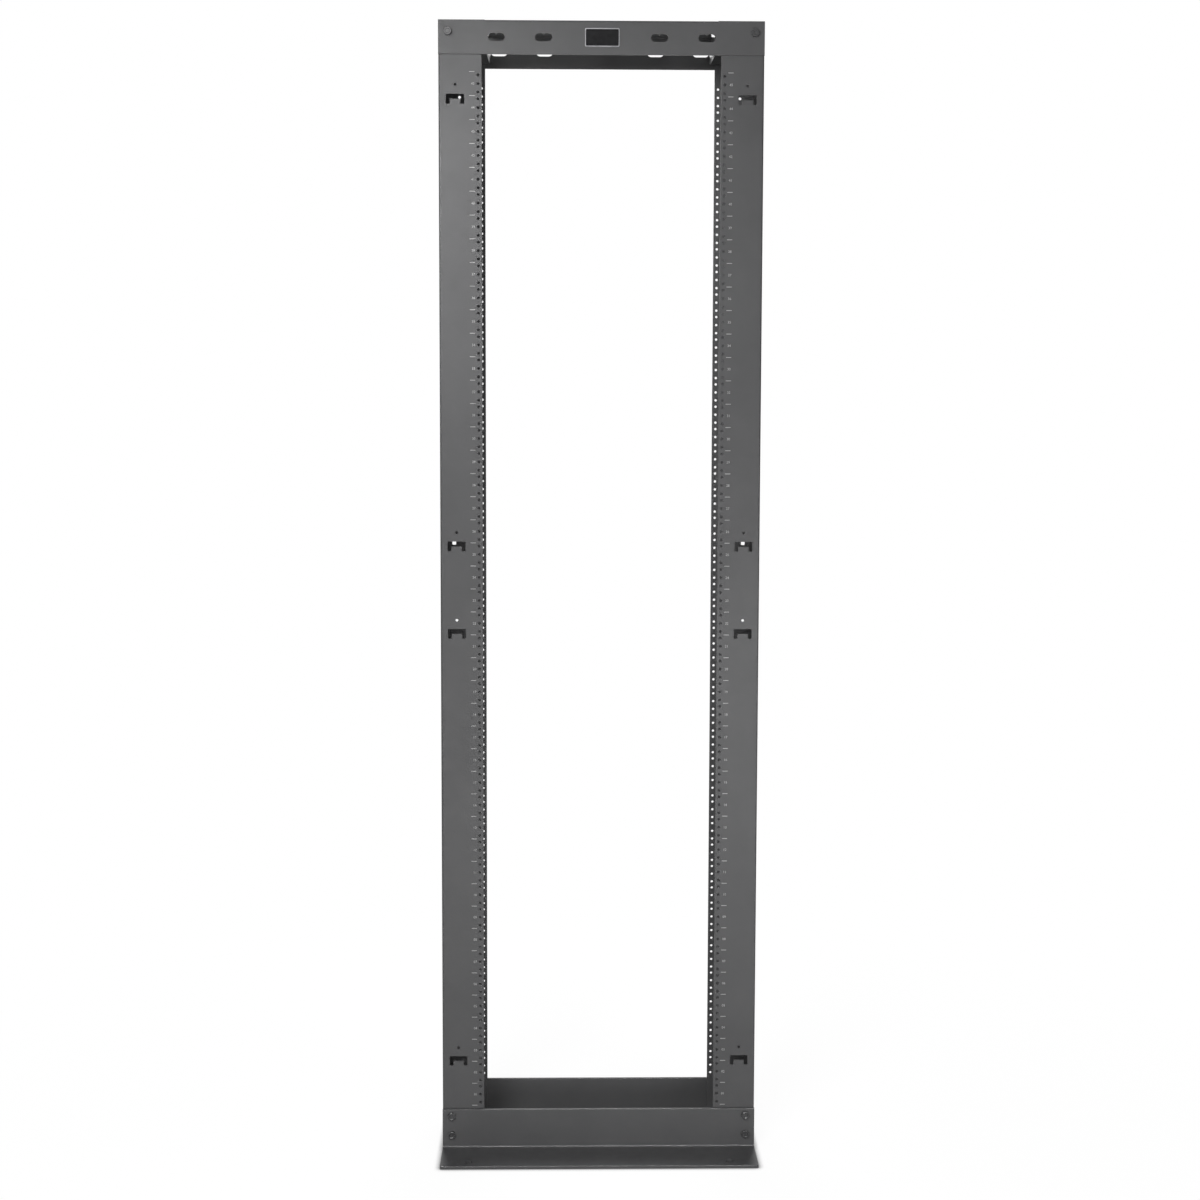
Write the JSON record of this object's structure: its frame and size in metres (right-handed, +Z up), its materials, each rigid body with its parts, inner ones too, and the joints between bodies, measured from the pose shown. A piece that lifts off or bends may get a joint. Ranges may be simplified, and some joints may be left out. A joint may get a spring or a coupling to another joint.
{
  "type": "two post open frame rack",
  "caption": "Free-standing open frame rack: two drilled steel channel posts joined by slotted top bars and wide base angles that stand on the floor.",
  "frame": {"origin": "on the floor, midway between the two posts and midway between their front and rear faces", "axes": "+Z up; -Y is the front of the rack, where the unit numbers are; +X runs across the rack, to the right as seen from the front"},
  "size_m": [0.614, 0.3682, 2.1844],
  "materials": {
    "powder_coat": "satin powder coat with a fine texture",
    "bolt_steel": "black oxide",
    "badge_face": "gloss",
    "badge_rim": "satin",
    "print_grey": "screen print"
  },
  "bodies": {
    "root": {"left_post": "powder_coat", "right_post": "powder_coat", "top_front_bar": "powder_coat", "top_rear_bar": "powder_coat", "left_top_tie": "powder_coat", "right_top_tie": "powder_coat", "base_front_angle": "powder_coat", "base_rear_angle": "powder_coat"}
  },
  "joints": []
}
